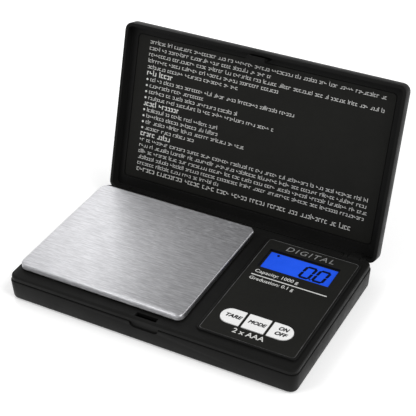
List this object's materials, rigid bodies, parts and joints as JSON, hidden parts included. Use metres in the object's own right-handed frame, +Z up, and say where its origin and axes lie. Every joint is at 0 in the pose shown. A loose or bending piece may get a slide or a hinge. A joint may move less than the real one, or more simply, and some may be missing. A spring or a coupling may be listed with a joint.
{
  "type": "pocket gram scale",
  "caption": "Hinged-lid pocket weighing scale, modelled open: steel platform, lit display, push keys, battery door, load cell and board inside.",
  "frame": {"origin": "centre of the footprint of the open scale, on the surface that its feet stand on", "axes": "+X to the right along the hinge, with the keys at the +X end; +Y back towards the lid; +Z up out of the platform"},
  "size_m": [0.13, 0.1071, 0.0818],
  "materials": {
    "case": "satin",
    "printed_sheet": "fine matt print film",
    "pan_steel": "brushed along its width",
    "key": "satin",
    "fastener_steel": "nickel plated",
    "switch_steel": "pressed tin plate",
    "epoxy": "moulded",
    "rubber": "matt",
    "display": "lit polariser film",
    "diffuser": "milky",
    "board": "solder mask",
    "load_cell_metal": "machined",
    "gauge_sealant": "smooth",
    "battery_jacket": "printed sleeve",
    "red_wire": "smooth",
    "black_wire": "smooth",
    "grey_wire": "smooth",
    "inner_plastic": "moulded"
  },
  "bodies": {
    "base": {"bottom_shell": "case", "top_cover": "case", "panel_label": "printed_sheet", "display_glass": "display", "display_backlight": "diffuser", "display_connector": "rubber", "circuit_board": "board", "controller_chip": "epoxy", "converter_chip": "epoxy", "crystal": "fastener_steel", "board_screw_left": "fastener_steel", "board_screw_right": "fastener_steel", "switch_tare": "switch_steel", "switch_mode": "switch_steel", "switch_power": "switch_steel", "load_cell": "load_cell_metal", "strain_gauge_upper": "gauge_sealant", "strain_gauge_lower": "gauge_sealant", "cell_screw_fixed_1": "fastener_steel", "cell_screw_fixed_2": "fastener_steel", "battery_front": "battery_jacket", "battery_back": "battery_jacket", "contact_bridge": "fastener_steel", "contact_positive": "fastener_steel", "contact_negative": "fastener_steel", "battery_lead_positive": "red_wire", "battery_lead_negative": "black_wire", "load_cell_lead": "grey_wire", "hinge_pin_left": "fastener_steel", "hinge_pin_right": "fastener_steel", "foot_front_left": "rubber", "foot_front_right": "rubber", "foot_back_left": "rubber", "foot_back_right": "rubber", "case_screw_front_left": "fastener_steel", "case_screw_front_right": "fastener_steel", "case_screw_back_left": "fastener_steel", "case_screw_back_right": "fastener_steel"},
    "lid": {"lid": "case", "lid_instruction_sheet": "printed_sheet"},
    "platform": {"platform": "pan_steel", "platform_carrier": "inner_plastic", "cell_screw_free_1": "fastener_steel", "cell_screw_free_2": "fastener_steel"},
    "battery_door": {"battery_door": "case"},
    "key_tare": {"key_tare": "key", "switch_plunger_tare": "epoxy"},
    "key_mode": {"key_mode": "key", "switch_plunger_mode": "epoxy"},
    "key_power": {"key_power": "key", "switch_plunger_power": "epoxy"}
  },
  "joints": [
    {"name": "lid_hinge", "type": "hinge", "parent": "base", "child": "lid", "pos_m": [0, 0.0231, 0.00934], "axis": [1, 0, 0], "range_deg": [0, 106.65]},
    {"name": "platform_press", "type": "slide", "parent": "base", "child": "platform", "axis": [0, 0, -1], "range_m": [0, 0.0004], "stiffness_N_per_m": 24500},
    {"name": "battery_door_slide", "type": "slide", "parent": "base", "child": "battery_door", "axis": [-1, 0, 0], "range_m": [0, 0.056]},
    {"name": "key_tare_press", "type": "slide", "parent": "base", "child": "key_tare", "axis": [0, 0, -1], "range_m": [0, 0.0005], "stiffness_N_per_m": 3200},
    {"name": "key_mode_press", "type": "slide", "parent": "base", "child": "key_mode", "axis": [0, 0, -1], "range_m": [0, 0.0005], "stiffness_N_per_m": 3200},
    {"name": "key_power_press", "type": "slide", "parent": "base", "child": "key_power", "axis": [0, 0, -1], "range_m": [0, 0.0005], "stiffness_N_per_m": 3200}
  ]
}
